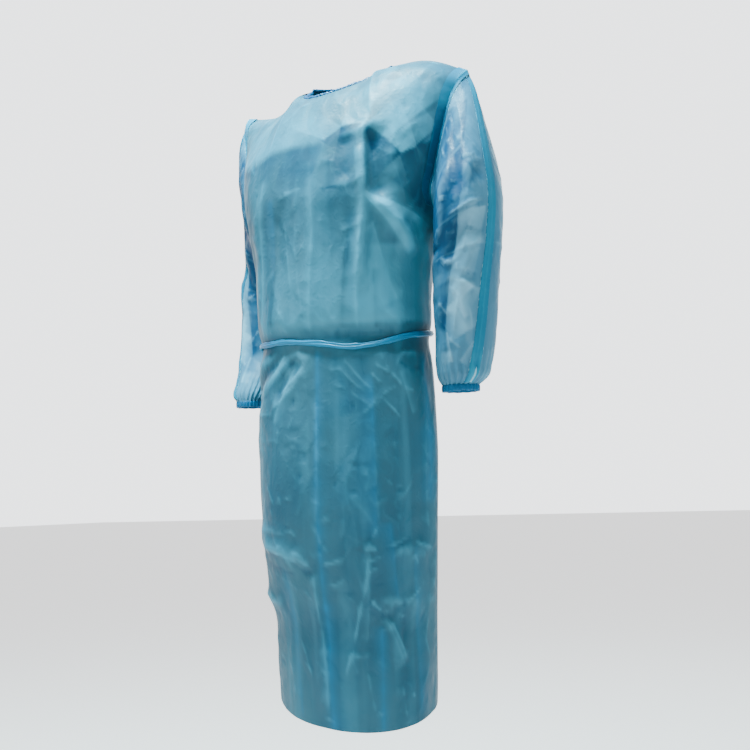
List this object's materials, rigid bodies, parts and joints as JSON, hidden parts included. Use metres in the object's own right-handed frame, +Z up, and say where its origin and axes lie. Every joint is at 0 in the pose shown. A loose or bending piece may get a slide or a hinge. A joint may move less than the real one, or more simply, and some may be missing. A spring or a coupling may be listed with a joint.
{
  "type": "isolation gown",
  "caption": "Long-sleeved isolation gown in its worn shape, hollow, with a round neck, taped seams, gathered cuffs and a tied waist.",
  "frame": {"origin": "midway between the two points where the neckline meets the shoulder seams, where the wearer's shoulders carry the gown", "axes": "+Z up, -Y out of the front, +X towards the wearer's left"},
  "size_m": [0.622, 0.3394, 1.2149],
  "materials": {
    "coated_cloth": "satin film on thin nonwoven cloth",
    "seam_tape": "glossy film tape",
    "neck_trim": "soft matt binding",
    "cuff_elastic": "matt elastic knit"
  },
  "bodies": {
    "root": {"front_panel": "coated_cloth", "back_panel_left": "coated_cloth", "back_panel_right": "coated_cloth", "sleeve_left": "coated_cloth", "sleeve_right": "coated_cloth", "waist_belt": "coated_cloth", "belt_knot": "coated_cloth", "belt_end_left": "coated_cloth", "belt_end_right": "coated_cloth", "armhole_tape_left": "seam_tape", "armhole_tape_right": "seam_tape", "sleeve_tape_left": "seam_tape", "sleeve_tape_right": "seam_tape", "neck_binding": "neck_trim", "cuff_left": "cuff_elastic", "cuff_right": "cuff_elastic"}
  },
  "joints": []
}
